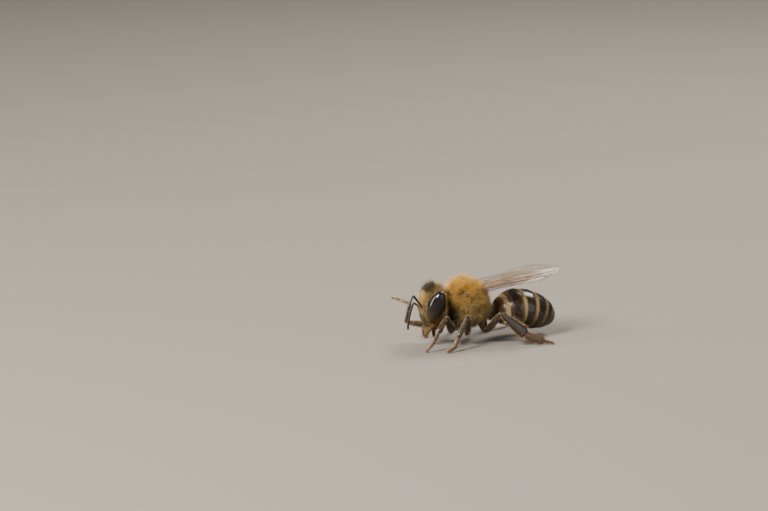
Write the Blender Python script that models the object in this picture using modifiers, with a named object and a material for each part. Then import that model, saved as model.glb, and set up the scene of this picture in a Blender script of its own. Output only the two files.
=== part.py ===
"""A honey bee worker, life size, standing on five feet with its right foreleg lifted.

Lengths are written in millimetres and turned into metres by MM. +Z is up, the head points to -Y and the
bee's left side is +X. The body is laid out round a point on the floor under the middle of the thorax, and
the last step moves everything so that the origin is under the middle of the whole bee, on the floor.
"""

import math

import bmesh
import bpy
from mathutils import Euler, Matrix, Vector

MM = 0.001

# Driving sizes of a worker, in millimetres.
GAP = 0.05  # left between neighbouring pieces
JOINT_TRIM = 0.07  # taken off each end of a leg piece, so that bent joints stay clear
LIMB_SIDES = 8
THORAX_CENTRE = Vector((0.0, -0.2, 3.3))
THORAX_RADII = Vector((2.2, 2.2, 2.5))
HEAD_CENTRE = Vector((-0.15, -3.27, 3.31))
HEAD_TURN = Euler((math.radians(-3), 0, math.radians(-6)))
HEAD_RADII = Vector((1.78, 1.22, 2.05))
EYE_RADII = Vector((0.60, 0.70, 1.44))
EYE_CENTRE = Vector((1.46, -0.22, 0.42))
ABDOMEN_START = Vector((0.0, 2.3, 2.5))
ABDOMEN_LENGTH = 6.1
ABDOMEN_WIDTH = 4.0
ABDOMEN_FLATNESS = 0.88
ABDOMEN_EDGES = (0.0, 0.8, 2.2, 3.3, 4.35, 5.25, 6.1)  # where one plate ends and the next begins
WING_BASE = Vector((1.55, -0.6, 4.72))
FOREWING_THICKNESS = 0.46
HINDWING_THICKNESS = 0.42

COLOURS = {
    "cuticle": ((0.030, 0.018, 0.012, 1.0), 0.35),
    "coat": ((0.480, 0.300, 0.110, 1.0), 0.90),
    "face": ((0.330, 0.270, 0.150, 1.0), 0.90),
    "eye": ((0.010, 0.008, 0.007, 1.0), 0.12),
    "band": ((0.260, 0.160, 0.060, 1.0), 0.50),
    "foot": ((0.160, 0.060, 0.025, 1.0), 0.45),
    "wing": ((0.420, 0.300, 0.200, 1.0), 0.25),
}


def clear_scene():
    for obj in list(bpy.data.objects):
        bpy.data.objects.remove(obj)


def new_collection(name):
    made = bpy.data.collections.new(name)
    bpy.context.scene.collection.children.link(made)
    return made


def material(name):
    """One Principled BSDF for each finish."""
    found = bpy.data.materials.get(name)
    if found:
        return found
    colour, roughness = COLOURS[name]
    made = bpy.data.materials.new(name)
    made.use_nodes = True
    shader = made.node_tree.nodes["Principled BSDF"]
    shader.inputs["Base Color"].default_value = colour
    shader.inputs["Roughness"].default_value = roughness
    shader.inputs["Metallic"].default_value = 0.0
    return made


def add_object(name, mesh, finish, parent=None, helper=False):
    obj = bpy.data.objects.new(name, mesh)
    (helpers if helper else bee).objects.link(obj)
    obj.parent = parent
    mesh.materials.append(material(finish))
    if helper:
        obj.hide_render = True
        obj.display_type = "WIRE"
    return obj


def smooth_step(value, low, high):
    t = min(max((value - low) / (high - low), 0.0), 1.0)
    return t * t * (3 - 2 * t)


def ball(name, centre, radii, finish, sides=16, rings=10, turn=None, parent=None, shape=None, helper=False):
    """An ellipsoid. shape is a function that moves each point of the unit ball before it is stretched."""
    mesh = bpy.data.meshes.new(name)
    cage = bmesh.new()
    bmesh.ops.create_uvsphere(cage, u_segments=sides, v_segments=rings, radius=1.0)
    for vertex in cage.verts:
        if shape:
            vertex.co = shape(vertex.co)
        vertex.co = Vector(a * b for a, b in zip(vertex.co, radii)) * MM
        if turn:
            vertex.co.rotate(turn)
        vertex.co += centre * MM
    cage.to_mesh(mesh)
    cage.free()
    mesh.shade_smooth()
    return add_object(name, mesh, finish, parent, helper)


def cut(obj, cutter):
    carve = obj.modifiers.new("cut", "BOOLEAN")
    carve.operation = "DIFFERENCE"
    carve.solver = "EXACT"
    carve.object = cutter


def axis_frame(start, end, flat_towards):
    """The matrix that carries +Z to the line from start to end, with +X along flat_towards."""
    along = (end - start).normalized()
    across = flat_towards - along * flat_towards.dot(along)
    across.normalize()
    third = along.cross(across)
    turn = Matrix((across, third, along)).transposed().to_4x4()
    return Matrix.Translation(start * MM) @ turn


def limb(name, start, end, profile, width, depth, finish, flat_towards=Vector((0, 0, 1)), parent=None):
    """A turned piece of a leg or feeler between two joints, squeezed to width and depth.

    profile holds (share of the length, share of the width) from the first joint to the second.
    """
    start, end = Vector(start), Vector(end)
    trim = (end - start).normalized() * JOINT_TRIM
    start, end = start + trim, end - trim
    length = (end - start).length * MM
    mesh = bpy.data.meshes.new(name)
    cage = bmesh.new()
    outline = [(0.0, 1.0)] + [(share, at) for at, share in reversed(profile)] + [(0.0, 0.0)]
    points = [cage.verts.new((radius * MM / 2, 0, at * length)) for radius, at in outline]
    for a, b in zip(points, points[1:]):
        cage.edges.new((a, b))
    cage.to_mesh(mesh)
    cage.free()
    obj = add_object(name, mesh, finish, parent)
    turn = obj.modifiers.new("turned", "SCREW")
    turn.steps = turn.render_steps = LIMB_SIDES
    turn.use_merge_vertices = True
    turn.merge_threshold = 0.000005
    frame = axis_frame(start, end, flat_towards.copy())
    obj.matrix_local = frame @ Matrix.Diagonal((depth, width, 1.0, 1.0))
    return obj


def loft(name, sections, finish, parent=None):
    """A closed skin over a row of rings, each a list of points in millimetres, with flat ends."""
    mesh = bpy.data.meshes.new(name)
    cage = bmesh.new()
    rings = [[cage.verts.new(Vector(point) * MM) for point in ring] for ring in sections]
    for first, second in zip(rings, rings[1:]):
        count = len(first)
        for i in range(count):
            j = (i + 1) % count
            cage.faces.new((first[i], first[j], second[j], second[i]))
    cage.faces.new(list(reversed(rings[0])))
    cage.faces.new(rings[-1])
    bmesh.ops.recalc_face_normals(cage, faces=cage.faces)
    cage.to_mesh(mesh)
    cage.free()
    mesh.shade_smooth()
    return add_object(name, mesh, finish, parent)


# Head: the capsule with its coat, the two compound eyes, the jaws, the folded tongue and the feelers.


def head_shape(point):
    """Wide between the eyes, narrow at the mouth, full in front, and hollow behind where the neck joins."""
    x, y, z = point
    mouth = smooth_step(-z, 0.0, 1.0)
    crown = smooth_step(z, 0.35, 1.0)
    x *= 1 - 0.46 * mouth - 0.10 * crown
    hollow = 1 - smooth_step(math.hypot(x, z), 0.25, 0.75)
    y = 0.70 * y ** 0.6 - 0.18 * hollow if y > 0 else y * (1 - 0.06 * mouth)
    z *= 1 - 0.05 * crown
    return Vector((x, y + 0.10 * crown, z))


def head_and_eyes():
    pose = bpy.data.objects.new("head_pose", None)
    bee.objects.link(pose)
    pose.location = HEAD_CENTRE * MM
    pose.rotation_euler = HEAD_TURN
    capsule = ball("head", Vector(), HEAD_RADII, "face", 24, 14, parent=pose, shape=head_shape)
    for side, sign in (("left", 1), ("right", -1)):
        lean = Euler((math.radians(-17), math.radians(9 * sign), math.radians(-14 * sign)))
        centre = Vector((EYE_CENTRE.x * sign, EYE_CENTRE.y, EYE_CENTRE.z))
        ball(f"eye_{side}", centre, EYE_RADII, "eye", 16, 14, lean, pose)
        socket = ball(f"socket_{side}", centre, EYE_RADII + Vector((GAP, GAP, GAP)), "eye", 16, 14, lean, pose,
                      helper=True)
        cut(capsule, socket)
    return pose


def mouth(pose):
    """The jaws close towards the middle under the lip, and the folded tongue lies behind them."""
    for side, sign in (("left", 1), ("right", -1)):
        limb(f"mandible_{side}", (0.80 * sign, -0.40, -1.92), (0.22 * sign, -0.52, -3.05),
             ((0, 0.75), (0.3, 1.0), (0.7, 0.8), (1.0, 0.55)), 0.62, 0.5, "cuticle",
             Vector((0, 1, 0)), pose)
    limb("tongue", (0, 0.34, -1.96), (0, 0.42, -3.0),
         ((0, 0.9), (0.4, 1.0), (0.8, 0.75), (1.0, 0.4)), 0.66, 0.5, "foot", Vector((0, 1, 0)), pose)


FEELERS = {
    "left": (Vector((0.34, -1.16, -0.05)), Vector((0.62, -2.10, 1.22)), Vector((1.02, -2.84, -1.04))),
    "right": (Vector((-0.34, -1.16, -0.05)), Vector((-0.50, -1.66, 0.34)), Vector((-0.90, -1.90, -2.15))),
}


def feelers(pose):
    """Each feeler is a long first joint that rises from the face and a whip that hangs from its elbow."""
    for side, (root, elbow, tip) in FEELERS.items():
        out = (elbow - root).normalized()
        limb(f"scape_{side}", root + out * 0.2, elbow,
             ((0, 0.7), (0.15, 0.95), (0.9, 1.0), (1.0, 0.6)), 0.5, 0.5, "cuticle", Vector((1, 0, 0)), pose)
        drop = (tip - elbow).normalized()
        limb(f"flagellum_{side}", elbow + drop * 0.28, tip,
             ((0, 0.6), (0.12, 1.0), (0.94, 1.0), (1.0, 0.6)), 0.5, 0.5, "cuticle", Vector((1, 0, 0)), pose)


# Thorax: the furry middle of the body, the neck and waist that join it, and the wing-root scales.


def thorax_shape(point):
    """Rounded on top, narrower towards the neck and the waist, and a little flat below."""
    x, y, z = point
    x *= 1 - (0.16 if y < 0 else 0.10) * smooth_step(abs(y), 0.3, 1.0)
    y = y * (0.93 if y < 0 else 1.0) - 0.15 * max(z, 0)
    z = z * 0.80 if z < 0 else z
    return Vector((x, y, z - 0.10 * smooth_step(abs(y), 0.4, 1.0)))


def thorax():
    ball("thorax_clearance", THORAX_CENTRE, THORAX_RADII + Vector((GAP, GAP, GAP)), "coat", 24, 14,
         shape=thorax_shape, helper=True)
    body = ball("thorax", THORAX_CENTRE, THORAX_RADII, "coat", 24, 14, shape=thorax_shape)
    limb("neck", (-0.05, -2.20, 3.02), (-0.10, -2.66, 3.10),
         ((0, 1.0), (1.0, 0.9)), 1.2, 1.2, "coat")
    limb("waist", (0, 1.90, 2.70), (0, 2.38, 2.55),
         ((0, 1.0), (1.0, 1.0)), 0.6, 0.6, "cuticle")
    for side, sign in (("left", 1), ("right", -1)):
        centre = Vector((1.86 * sign, -0.92, 4.60))
        ball(f"tegula_{side}", centre, Vector((0.30, 0.40, 0.26)), "foot", 12, 8,
             Euler((0, math.radians(35 * sign), 0)))
        cut(body, ball(f"tegula_seat_{side}", centre, Vector((0.35, 0.45, 0.31)), "foot", 12, 8,
                       Euler((0, math.radians(35 * sign), 0)), helper=True))
    return body


# Abdomen: six overlapping plates round a middle line that bends down towards the tip.


def abdomen_pitch(s):
    """How far the middle line points down, in radians, at s millimetres from the waist."""
    return math.radians(-2 + 30 * smooth_step(s, 0.5, ABDOMEN_LENGTH))


def abdomen_line(s):
    """The point of the middle line at s millimetres from the waist."""
    steps = 40
    point = ABDOMEN_START.copy()
    for i in range(steps):
        angle = abdomen_pitch((i + 0.5) / steps * s)
        point += Vector((0, math.cos(angle), -math.sin(angle))) * (s / steps)
    return point


def abdomen_radius(s):
    """Half the width at s: a steep front, the widest part at two fifths, then a pointed egg."""
    t = s / ABDOMEN_LENGTH
    front = math.sin(min(t / 0.40, 1.0) * math.pi / 2) ** 0.62
    back = math.sqrt(max(1 - max((t - 0.40) / 0.61, 0.0) ** 2.1, 0.0))
    return max(ABDOMEN_WIDTH / 2 * front * back, 0.12)


def abdomen_ring(s, swell=1.0, sides=24):
    centre, pitch, radius = abdomen_line(s), abdomen_pitch(s), abdomen_radius(s) * swell
    up = Vector((0, math.sin(pitch), math.cos(pitch)))
    side = Vector((1, 0, 0))
    ring = []
    for i in range(sides):
        angle = 2 * math.pi * i / sides
        lift = math.sin(angle) * ABDOMEN_FLATNESS
        ring.append(centre + side * (math.cos(angle) * radius) + up * (lift * radius))
    return ring


def abdomen():
    for i, (start, end) in enumerate(zip(ABDOMEN_EDGES, ABDOMEN_EDGES[1:])):
        first = start + (0.03 if i == 0 else GAP)
        stations = [first + (end - first) * k / 4 for k in range(5)]
        swell = [0.985, 1.0, 1.01, 1.02, 1.025]
        rings = [abdomen_ring(s, w) for s, w in zip(stations, swell)]
        loft(f"abdomen_{i + 1}", rings, "band" if i < 5 else "cuticle")


# Legs: each has a hip, thigh, shin, long first foot joint and a small foot, between these joints.

LEGS = {
    "fore_left": ((0.50, -1.45, 2.40), (1.0, -2.15, 1.22), (2.0, -2.95, 2.80), (2.6, -4.0, 1.76),
                  (2.42, -4.42, 0.74), (2.32, -4.98, 0.0)),
    "fore_right": ((-0.52, -1.50, 2.40), (-1.34, -2.95, 1.40), (-2.30, -4.90, 1.70), (-2.14, -4.50, 3.30),
                   (-2.56, -5.30, 3.68), (-2.88, -5.98, 3.88)),
    "mid_left": ((0.78, -0.40, 2.00), (1.30, -0.72, 0.98), (2.52, -1.20, 2.86), (3.02, -2.30, 1.25),
                 (3.18, -2.80, 0.34), (3.36, -3.50, 0.0)),
    "mid_right": ((-0.78, -0.30, 2.00), (-1.32, -0.30, 0.98), (-2.74, -0.10, 2.80), (-3.50, 0.20, 1.16),
                  (-3.96, 0.50, 0.34), (-4.30, 1.00, 0.0)),
    "hind_left": ((0.74, 0.85, 2.30), (1.30, 1.10, 1.00), (2.70, 1.90, 2.86), (3.60, 3.80, 1.04),
                  (3.92, 5.44, 0.36), (4.06, 6.40, 0.0)),
    "hind_right": ((-0.74, 0.85, 2.30), (-1.30, 1.15, 1.00), (-2.60, 2.10, 2.86), (-3.40, 4.22, 1.06),
                   (-3.80, 5.90, 0.36), (-4.00, 6.86, 0.0)),
}
LEG_WIDTHS = {  # hip, thigh, shin, first foot joint: (width, depth)
    "fore": ((0.72, 0.66), (0.62, 0.52), (0.58, 0.50), (0.50, 0.50)),
    "mid": ((0.72, 0.66), (0.64, 0.52), (0.66, 0.50), (0.56, 0.50)),
    "hind": ((0.78, 0.70), (0.74, 0.54), (1.06, 0.52), (0.96, 0.50)),
}
HIP = ((0, 0.6), (0.35, 1.0), (0.75, 0.8), (1.0, 0.3))
THIGH = ((0, 0.3), (0.18, 0.85), (0.45, 1.0), (0.85, 0.8), (1.0, 0.4))
SHIN = ((0, 0.4), (0.15, 0.8), (0.55, 0.95), (0.9, 1.0), (1.0, 0.55))
HIND_SHIN = ((0, 0.22), (0.12, 0.5), (0.5, 0.8), (0.93, 1.0), (1.0, 0.5))
INSTEP = ((0, 0.5), (0.12, 0.95), (0.85, 0.95), (1.0, 0.5))
SOLE_HEIGHT = 0.24
SOLE_WIDTH = 0.5


def foot(name, heel, toe, standing):
    """The small foot joints and claws as one flat-soled piece that tapers to the toe."""
    heel, toe = Vector(heel), Vector(toe)
    along = (toe - heel).normalized()
    heel = heel + along * 0.14
    side = Vector((-along.y, along.x, 0)).normalized()
    rings = []
    for share, spread in ((0.0, 0.45), (0.2, 0.9), (0.6, 1.0), (0.9, 0.9), (1.0, 0.55)):
        centre = heel.lerp(toe, share)
        if standing:
            centre.z = max(heel.z * (1 - smooth_step(share, 0.0, 0.5)), SOLE_HEIGHT)
        up = side.cross(along) * (1 if side.cross(along).z > 0 else -1)
        half = SOLE_WIDTH / 2 * spread
        ring = []
        for i in range(LIMB_SIDES):
            angle = 2 * math.pi * (i + 0.5) / LIMB_SIDES
            point = centre + side * (half * math.cos(angle)) + up * (half * math.sin(angle))
            if standing and share > 0.3 and point.z < centre.z:
                point.z = 0.0 if share > 0.5 else max(point.z, 0.0)
            ring.append(point)
        rings.append(ring)
    return loft(name, rings, "foot")


def leg(name, joints):
    pair, side = name.split("_")
    outward = Vector((1 if side == "left" else -1, 0, 0.2))
    widths = LEG_WIDTHS[pair]
    standing = joints[-1][2] == 0.0
    profiles = (HIP, THIGH, HIND_SHIN if pair == "hind" else SHIN, INSTEP)
    finishes = ("cuticle", "cuticle", "cuticle", "foot")
    for i, piece in enumerate(("coxa", "femur", "tibia", "basitarsus")):
        width, depth = widths[i]
        bone = limb(f"{piece}_{name}", joints[i], joints[i + 1], profiles[i], width, depth, finishes[i], outward)
        if piece == "coxa":
            cut(bone, bpy.data.objects["thorax_clearance"])
    foot(f"foot_{name}", joints[4], joints[5], standing)


# Wings: flat plates laid back over the abdomen, the left pair over the right, each hind wing under its fore wing.

FOREWING = ((0.0, 0.0), (-0.12, 2.0), (-0.2, 4.4), (-0.08, 6.6), (0.3, 8.1), (1.0, 8.88), (1.9, 8.65),
            (2.65, 7.5), (2.9, 6.2), (2.72, 5.0), (2.3, 4.1), (1.9, 3.2), (1.15, 1.9), (0.55, 0.8), (0.3, 0.05))
HINDWING = ((0.0, 0.0), (-0.04, 1.5), (0.0, 3.5), (0.2, 5.3), (0.65, 6.2), (1.35, 5.5), (1.8, 4.3),
            (1.9, 3.3), (1.8, 2.3), (1.45, 1.3), (0.9, 0.5), (0.3, 0.05))
WINGS = {  # sweep out, pitch up and roll (inner edge up) in degrees, for each side
    "left": (6.0, 8.0, 14.0),
    "right": (6.8, 4.0, -5.0),
}


def rounded(outline, steps=3):
    """A closed outline through the given points with smooth turns between them."""
    count = len(outline)
    drawn = []
    for i in range(count):
        before, first, second, after = (Vector(outline[(i + k) % count]) for k in (-1, 0, 1, 2))
        for k in range(steps):
            t = k / steps
            drawn.append(0.5 * (2 * first + (second - before) * t
                                + (2 * before - 5 * first + 4 * second - after) * t * t
                                + (3 * first - before - 3 * second + after) * t ** 3))
    return drawn


def wing(name, outline, thickness, base, side, angles, behind=0.0, below=0.0):
    """A flat outline; its front edge is the outer one, and its inner edge lies over the body."""
    sign = 1 if side == "left" else -1
    drawn = rounded(outline)
    rings = [[Vector((-inward * sign, along + behind, height - below)) for inward, along in drawn]
             for height in (-thickness / 2, thickness / 2)]
    obj = loft(name, rings, "wing")
    obj.data.shade_flat()
    sweep, pitch, roll = (math.radians(angle) for angle in angles)
    turn = Matrix.Rotation(-sweep * sign, 4, "Z") @ Matrix.Rotation(pitch, 4, "X") @ Matrix.Rotation(
        roll * sign, 4, "Y")
    obj.matrix_local = Matrix.Translation(base * MM) @ turn
    cut(obj, bpy.data.objects["thorax_clearance"])
    return obj


def wings():
    below = (FOREWING_THICKNESS + HINDWING_THICKNESS) / 2 + GAP
    for side, sign in (("left", 1), ("right", -1)):
        base = Vector((WING_BASE.x * sign, WING_BASE.y, WING_BASE.z))
        wing(f"forewing_{side}", FOREWING, FOREWING_THICKNESS, base, side, WINGS[side])
        wing(f"hindwing_{side}", HINDWING, HINDWING_THICKNESS, base, side, WINGS[side], 1.3, below)


def centre_on_floor():
    """Moves every top-level object so that the middle of the bee's box is over the origin."""
    bpy.context.view_layer.update()
    graph = bpy.context.evaluated_depsgraph_get()
    low, high = Vector((1, 1, 1)), Vector((-1, -1, -1))
    for obj in bee.objects:
        if obj.type == "EMPTY":
            continue
        shown = obj.evaluated_get(graph)
        mesh = shown.to_mesh()
        for vertex in mesh.vertices:
            place = shown.matrix_world @ vertex.co
            low = Vector(map(min, low, place))
            high = Vector(map(max, high, place))
        shown.to_mesh_clear()
    shift = Vector((-(low.x + high.x) / 2, -(low.y + high.y) / 2, -low.z))
    for obj in list(bee.objects) + list(helpers.objects):
        if obj.parent is None:
            obj.location += shift


clear_scene()
bee = new_collection("bee")
helpers = new_collection("cutters")
head_pose = head_and_eyes()
mouth(head_pose)
feelers(head_pose)
thorax()
abdomen()
for leg_name, leg_joints in LEGS.items():
    leg(leg_name, leg_joints)
wings()
centre_on_floor()
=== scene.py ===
import math

import bpy
import numpy as np
from mathutils import Euler, Matrix, Vector


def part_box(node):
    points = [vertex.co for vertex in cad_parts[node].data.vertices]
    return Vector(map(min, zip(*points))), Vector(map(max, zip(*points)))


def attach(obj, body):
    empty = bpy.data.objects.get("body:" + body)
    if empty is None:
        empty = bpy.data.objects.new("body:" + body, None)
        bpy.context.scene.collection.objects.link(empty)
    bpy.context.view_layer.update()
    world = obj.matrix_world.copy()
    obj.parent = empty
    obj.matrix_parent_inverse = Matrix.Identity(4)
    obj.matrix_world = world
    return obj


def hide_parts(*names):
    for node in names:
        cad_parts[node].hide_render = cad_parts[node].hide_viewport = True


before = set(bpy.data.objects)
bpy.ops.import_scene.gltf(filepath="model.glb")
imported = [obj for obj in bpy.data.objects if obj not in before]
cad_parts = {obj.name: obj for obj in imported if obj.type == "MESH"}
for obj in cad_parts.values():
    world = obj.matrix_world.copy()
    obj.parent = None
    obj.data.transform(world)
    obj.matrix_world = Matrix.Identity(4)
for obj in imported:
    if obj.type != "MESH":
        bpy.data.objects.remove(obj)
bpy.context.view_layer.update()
bpy.ops.object.select_all(action="DESELECT")

# The camera looks at the bee's left side from a little ahead of it and from just above the floor.
# It has a long lens and aims at a spot ahead of the bee and above it, which leaves room in front of the head.
# Lengths in this file are in millimetres from a point on the floor under the thorax; place() makes them metres.
MM = 0.001
BEHIND_THORAX_MIDDLE = 0.134
thorax_low, thorax_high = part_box("thorax")
FLOOR_POINT = np.array(((thorax_low[0] + thorax_high[0]) / 2,
                        (thorax_low[1] + thorax_high[1]) / 2 + BEHIND_THORAX_MIDDLE * MM, 0.0))
CAMERA_TURN = math.radians(66)
CAMERA_RISE = math.radians(12)
CAMERA_LENS = 150
SENSOR_WIDTH = 36.0
PICTURE_WIDTH = 66.8
AIM_HEIGHT = 3.15
AIM_LEFT, AIM_UP = 7.3, 4.4


def place(points):
    return np.asarray(points, dtype=float) * MM + FLOOR_POINT


def way_to(turn, rise):
    """The way to a thing that stands turn from straight ahead of the bee, on its left, and rise above the floor."""
    return np.array((math.sin(turn) * math.cos(rise), -math.cos(turn) * math.cos(rise), math.sin(rise)))


picture_right = np.array((math.cos(CAMERA_TURN), math.sin(CAMERA_TURN), 0.0))
to_camera = way_to(CAMERA_TURN, CAMERA_RISE)
picture_up = np.cross(to_camera, picture_right)
aim = np.array((0.0, 0.0, AIM_HEIGHT)) - AIM_LEFT * picture_right + AIM_UP * picture_up
distance = PICTURE_WIDTH * CAMERA_LENS / SENSOR_WIDTH
bpy.ops.object.camera_add(location=place(aim + distance * to_camera))
camera = bpy.context.object
camera.name = "camera"
camera.data.lens = CAMERA_LENS
camera.data.sensor_width = SENSOR_WIDTH
camera.data.clip_start = 0.001
camera.data.clip_end = 20.0
camera.rotation_euler = Matrix((picture_right, picture_up, to_camera)).transposed().to_euler()
bpy.context.scene.camera = camera


# The floor is one wide grey-brown sheet, and nothing on it belongs to the bee. The light is a studio's: a key above
# the head, a tall lamp in front that draws the long streak on the eye, a wide weak fill from the tail's side and a
# rim from behind. Each row holds a lamp's turn, rise, width, height, power and colour.
LAMP_DISTANCE = 260
LAMP_AIM_HEIGHT = 3


def add(finish, kind, inputs=None, **settings):
    """A shader node with its settings, and with each input either set or linked."""
    made = finish.node_tree.nodes.new("ShaderNode" + kind)
    for key, value in settings.items():
        setattr(made, key, value)
    for key, value in (inputs or {}).items():
        if isinstance(value, bpy.types.NodeSocket):
            finish.node_tree.links.new(value, made.inputs[key])
        else:
            made.inputs[key].default_value = value
    return made


def new_finish(name, colour, roughness, **more):
    """A Principled material; more holds other sockets by name, with _ for a space."""
    finish = bpy.data.materials.new(name)
    finish.use_nodes = True
    shader = finish.node_tree.nodes["Principled BSDF"]
    for key, value in {"Base Color": colour, "Roughness": roughness, **more}.items():
        shader.inputs[key.replace("_", " ")].default_value = (*value, 1.0) if isinstance(value, tuple) else value
    finish.diffuse_color = (*colour, 1.0)
    return finish


def feed(finish, socket, value):
    finish.node_tree.links.new(value, finish.node_tree.nodes["Principled BSDF"].inputs[socket])


bpy.ops.mesh.primitive_plane_add(size=6.0)
floor = bpy.context.object
floor.name = "floor"
floor.data.materials.append(new_finish("floor_paint", (0.15, 0.136, 0.118), 0.85))

for name, turn, rise, width, height, power, colour in (
        ("key_light", 24, 40, 90, 90, 2.1, (1.0, 0.94, 0.84)),
        ("front_light", -16, 16, 85, 230, 0.85, (1.0, 0.97, 0.92)),
        ("fill_light", 110, 22, 260, 260, 0.25, (0.93, 0.96, 1.0)),
        ("rim_light", 215, 48, 120, 120, 1.0, (1.0, 0.95, 0.86))):
    stand = way_to(math.radians(turn), math.radians(rise)) * LAMP_DISTANCE
    bpy.ops.object.light_add(type="AREA", location=place(stand + (0, 0, LAMP_AIM_HEIGHT)))
    lamp = bpy.context.object
    lamp.name = name
    lamp.data.shape = "ELLIPSE"
    lamp.data.size, lamp.data.size_y = width * MM, height * MM
    lamp.data.energy = power
    lamp.data.color = colour
    lamp.rotation_euler = Vector(stand).to_track_quat("Z", "Y").to_euler()

world = bpy.data.worlds.new("studio")
bpy.context.scene.world = world
world.use_nodes = True
background = world.node_tree.nodes["Background"].inputs
background["Color"].default_value = (0.8, 0.81, 0.83, 1.0)
background["Strength"].default_value = 0.26


# The thorax is a hard rounded box of muscle with two faint lines on its back and a raised shelf behind, the
# scutellum. Its one shell is shaped from a ball, and the coat hides nearly all of it. The neck and the waist are
# short stalks of the same shell.
def smooth_step(value, low, high):
    t = np.clip((value - low) / (high - low), 0.0, 1.0)
    return t * t * (3 - 2 * t)


def hump(value, centre, spread):
    return np.exp(-((value - centre) / spread) ** 2)


def unit(vectors):
    return vectors / np.linalg.norm(vectors, axis=-1)[..., None]


def polar(d):
    """Each direction's share of the way from the ball's foot to its top, and its angle round the ball."""
    return np.arccos(np.clip(-d[:, 2], -1, 1)) / math.pi, np.arctan2(d[:, 1], d[:, 0])


def columns(x, y, z):
    return np.stack(np.broadcast_arrays(x, y, z), axis=1)


def points_of(mesh):
    points = np.empty(len(mesh.vertices) * 3)
    mesh.vertices.foreach_get("co", points)
    return points.reshape(-1, 3)


def select(*pieces):
    bpy.ops.object.select_all(action="DESELECT")
    for piece in reversed(pieces):
        piece.select_set(True)
        bpy.context.view_layer.objects.active = piece


def shaped(name, surface, around, rows, finish):
    """A ball of so many faces around and rows of them, each point moved to where surface() puts its direction."""
    select()
    bpy.ops.mesh.primitive_uv_sphere_add(segments=around, ring_count=rows, radius=1.0)
    piece = bpy.context.object
    piece.name = piece.data.name = name
    piece.data.vertices.foreach_set("co", place(surface(unit(points_of(piece.data)))).ravel())
    piece.data.update()
    bpy.ops.object.mode_set(mode="EDIT")
    bpy.ops.mesh.select_all(action="SELECT")
    bpy.ops.mesh.normals_make_consistent(inside=False)
    bpy.ops.object.mode_set(mode="OBJECT")
    bpy.ops.object.shade_smooth()
    piece.data.materials.append(finish)
    return piece


def join(name, pieces):
    """Like pieces made one, which keeps each one's own finish."""
    select(*pieces)
    bpy.ops.object.join()
    pieces[0].name = pieces[0].data.name = name
    return pieces[0]


def own(piece, slot, *nodes):
    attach(piece, "root")
    if nodes:
        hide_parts(*nodes)


def spot(finish):
    return add(finish, "TexCoord").outputs["Object"]


def noise(finish, per_mm, detail=3.0, roughness=0.5):
    return add(finish, "TexNoise", {"Vector": spot(finish), "Scale": per_mm / MM, "Detail": detail,
                                    "Roughness": roughness}).outputs["Fac"]


def ramp(finish, value, *stops):
    made = add(finish, "ValToRGB", {"Fac": value})
    band = made.color_ramp
    while len(band.elements) < len(stops):
        band.elements.new(0.5)
    for element, (at, colour) in zip(band.elements, stops):
        element.position = at
        element.color = (*colour, 1.0)
    return made.outputs["Color"]


def blend(finish, factor, first, second, mode="MIX"):
    """Two colours mixed. Each is a socket or (red, green, blue)."""
    first, second = ((*value, 1.0) if isinstance(value, tuple) else value for value in (first, second))
    return add(finish, "Mix", {0: factor, 6: first, 7: second}, data_type="RGBA", blend_type=mode).outputs[2]


def span(finish, value, low, high, start=0.0, end=1.0):
    return add(finish, "MapRange", {"Value": value, "From Min": low, "From Max": high, "To Min": start,
                                    "To Max": end}).outputs["Result"]


def bump(finish, height, strength, depth):
    made = add(finish, "Bump", {"Height": height, "Strength": strength, "Distance": depth * MM})
    feed(finish, "Normal", made.outputs["Normal"])


def shell_finish(name, dark, light, roughness, pits_per_mm=9.0, pitted=0.25):
    """Insect shell: a dark varnish with cloudy lighter parts, fine pits and uneven gloss."""
    finish = new_finish(name, dark, roughness, Coat_Weight=0.1, Coat_Roughness=0.18, Specular_IOR_Level=0.42)
    cloud = noise(finish, 1.3, 4.0, 0.6)
    feed(finish, "Base Color", ramp(finish, cloud, (0.35, dark), (0.75, light)))
    feed(finish, "Roughness", span(finish, noise(finish, 4.0), 0.3, 0.7, roughness - 0.07, roughness + 0.1))
    pits = add(finish, "TexVoronoi", {"Vector": spot(finish), "Scale": pits_per_mm / MM}, feature="F1")
    bump(finish, pits.outputs["Distance"], pitted, 0.01)
    return finish


THORAX = np.array((0.0, -0.2, 3.3))
THORAX_RADII = np.array((1.82, 1.84, 2.02))
SHELF_HEIGHT, GROOVE_DEPTH, LINE_DEPTH = 0.16, 0.06, 0.02
NECK_ENDS, NECK_WIDTH = ((-0.04, -1.4, 2.95), (-0.12, -2.95, 3.15)), 1.0
WAIST_ENDS, WAIST_WIDTH, WAIST_DEPTH = ((0, 1.2, 2.8), (0, 2.75, 2.45)), 0.95, 0.85
thorax_shell = shell_finish("thorax_shell", (0.016, 0.011, 0.007), (0.05, 0.028, 0.013), 0.62)


def thorax_surface(d):
    x, y, z = d.T
    narrow = np.where(y < 0, 0.16, 0.1) * smooth_step(np.abs(y), 0.3, 1.0)
    body = columns(x * (1 - narrow), y * np.where(y < 0, 0.93, 1.0) - 0.15 * np.maximum(z, 0),
                   np.where(z < 0, z * 0.82, z) - 0.1 * smooth_step(np.abs(y), 0.4, 1.0)) * THORAX_RADII
    shelf = hump(y, 0.64, 0.15) * smooth_step(z, 0.35, 0.75) * (1 - smooth_step(np.abs(x), 0.3, 0.62))
    groove = hump(y, 0.42, 0.05) * smooth_step(z, 0.3, 0.6)
    lines = hump(np.abs(x), 0.42, 0.03) * smooth_step(z, 0.6, 0.8) * (y < 0.4)
    return THORAX + body + d * (SHELF_HEIGHT * shelf - GROOVE_DEPTH * groove - LINE_DEPTH * lines)[:, None]


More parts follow.
